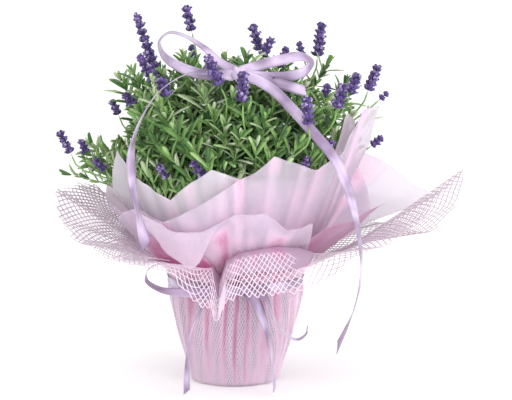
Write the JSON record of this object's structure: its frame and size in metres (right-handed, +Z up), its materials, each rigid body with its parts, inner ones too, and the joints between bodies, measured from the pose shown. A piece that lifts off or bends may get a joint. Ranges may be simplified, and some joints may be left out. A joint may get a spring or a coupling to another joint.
{
  "type": "gift-wrapped potted lavender",
  "caption": "Bushy flowering lavender in a small round pot, gathered in sheets of fleece and open net, with a ribbon tied round the pot and a long-tailed bow on top.",
  "frame": {"origin": "middle of the wrapped pot's foot, on the underside of the net that the pot stands on", "axes": "+Z up along the pot, -Y towards the front with the bow and the ribbon knot, +X to the right seen from the front"},
  "size_m": [0.3991, 0.3617, 0.3734],
  "materials": {
    "pot": "thin dark nursery pot",
    "soil": "peat compost, matt",
    "net": "open knotless net of fine pink strands",
    "fleece_pink": "pale pink bonded fleece, see-through",
    "fleece_white": "pinkish white bonded fleece, see-through",
    "ribbon": "lilac satin ribbon",
    "foliage": "narrow green leaves on soft stems",
    "blossom": "violet buds and calyces"
  },
  "bodies": {
    "root": {"pot": "pot", "soil": "soil", "net_wrap": "net", "fleece_outer": "fleece_pink", "fleece_inner": "fleece_white", "tie_ribbon": "ribbon", "bow_ribbon": "ribbon", "leafy_stem_01": "foliage", "leafy_stem_02": "foliage", "leafy_stem_03": "foliage", "leafy_stem_04": "foliage", "leafy_stem_05": "foliage", "leafy_stem_06": "foliage", "leafy_stem_07": "foliage", "leafy_stem_08": "foliage", "leafy_stem_09": "foliage", "leafy_stem_10": "foliage", "leafy_stem_11": "foliage", "leafy_stem_12": "foliage", "leafy_stem_13": "foliage", "leafy_stem_14": "foliage", "leafy_stem_15": "foliage", "leafy_stem_16": "foliage", "flower_head_01": "blossom", "flower_head_02": "blossom", "flower_head_03": "blossom", "flower_head_04": "blossom", "flower_head_05": "blossom", "flower_head_06": "blossom", "flower_head_07": "blossom", "flower_head_08": "blossom", "flower_head_09": "blossom", "flower_head_10": "blossom", "flower_head_11": "blossom", "flower_head_12": "blossom", "flower_head_13": "blossom", "flower_head_14": "blossom", "flower_head_15": "blossom", "flower_head_16": "blossom", "flower_head_17": "blossom", "flower_head_18": "blossom", "flower_head_19": "blossom", "flower_head_20": "blossom", "flower_head_21": "blossom", "flower_head_22": "blossom", "flower_head_23": "blossom", "flower_head_24": "blossom", "flower_head_25": "blossom", "flower_head_26": "blossom", "flower_head_27": "blossom", "flower_head_28": "blossom", "flower_head_29": "blossom", "flower_head_30": "blossom", "flower_head_31": "blossom"}
  },
  "joints": []
}
